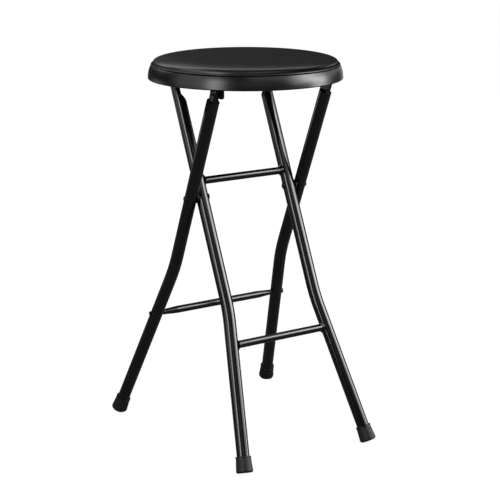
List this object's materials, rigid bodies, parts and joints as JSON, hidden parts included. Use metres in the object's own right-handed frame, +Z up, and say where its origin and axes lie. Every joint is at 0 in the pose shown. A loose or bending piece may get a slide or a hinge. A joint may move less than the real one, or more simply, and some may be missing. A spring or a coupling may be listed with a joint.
{
  "type": "padded folding stool",
  "caption": "Counter-height folding stool: round padded vinyl seat in a flared steel pan on crossed tube frames that close like scissors while the seat flips up.",
  "frame": {"origin": "on the floor, in the middle of the four feet", "axes": "+Z up; X along the crossbars; the inner frame's feet stand towards -Y, the front, and the outer frame's feet towards +Y"},
  "size_m": [0.3266, 0.3674, 0.611],
  "materials": {
    "frame_paint": "gloss",
    "pan_paint": "gloss",
    "fitting_paint": "satin",
    "rivet_steel": "satin",
    "screw_steel": "satin",
    "foot_rubber": "matte",
    "washer_nylon": "satin",
    "hardboard": "matte",
    "foam": "matte",
    "vinyl": "satin"
  },
  "bodies": {
    "outer_frame": {"outer_leg_left": "frame_paint", "outer_leg_right": "frame_paint", "outer_crossbar": "frame_paint", "hinge_tongue_left": "fitting_paint", "hinge_tongue_right": "fitting_paint", "outer_foot_left": "foot_rubber", "outer_foot_right": "foot_rubber", "pivot_rivet_left": "rivet_steel", "pivot_rivet_right": "rivet_steel", "pivot_washer_left": "washer_nylon", "pivot_washer_right": "washer_nylon"},
    "inner_frame": {"inner_leg_left": "frame_paint", "inner_leg_right": "frame_paint", "upper_crossbar": "frame_paint", "lower_crossbar": "frame_paint", "catch_rod": "fitting_paint", "inner_foot_left": "foot_rubber", "inner_foot_right": "foot_rubber"},
    "seat": {"seat_pan": "pan_paint", "seat_board": "hardboard", "foam_pad": "foam", "seat_cover": "vinyl", "welt_ring": "vinyl", "hinge_bracket_left": "fitting_paint", "hinge_bracket_right": "fitting_paint", "hinge_rivet_left": "rivet_steel", "hinge_rivet_right": "rivet_steel", "catch_bracket_left": "fitting_paint", "catch_bracket_right": "fitting_paint", "bracket_screws": "screw_steel"}
  },
  "joints": [
    {"name": "leg_fold", "type": "hinge", "parent": "outer_frame", "child": "inner_frame", "pos_m": [0, 0.00527, 0.3947], "axis": [1, 0, 0], "range_deg": [0, 43]},
    {"name": "seat_flip", "type": "hinge", "parent": "outer_frame", "child": "seat", "pos_m": [0, -0.06961, 0.57], "axis": [1, 0, 0], "range_deg": [0, 98.04]}
  ],
  "couplings": [
    {"joint": "seat_flip", "follows": "leg_fold", "ratio": 2.28}
  ]
}
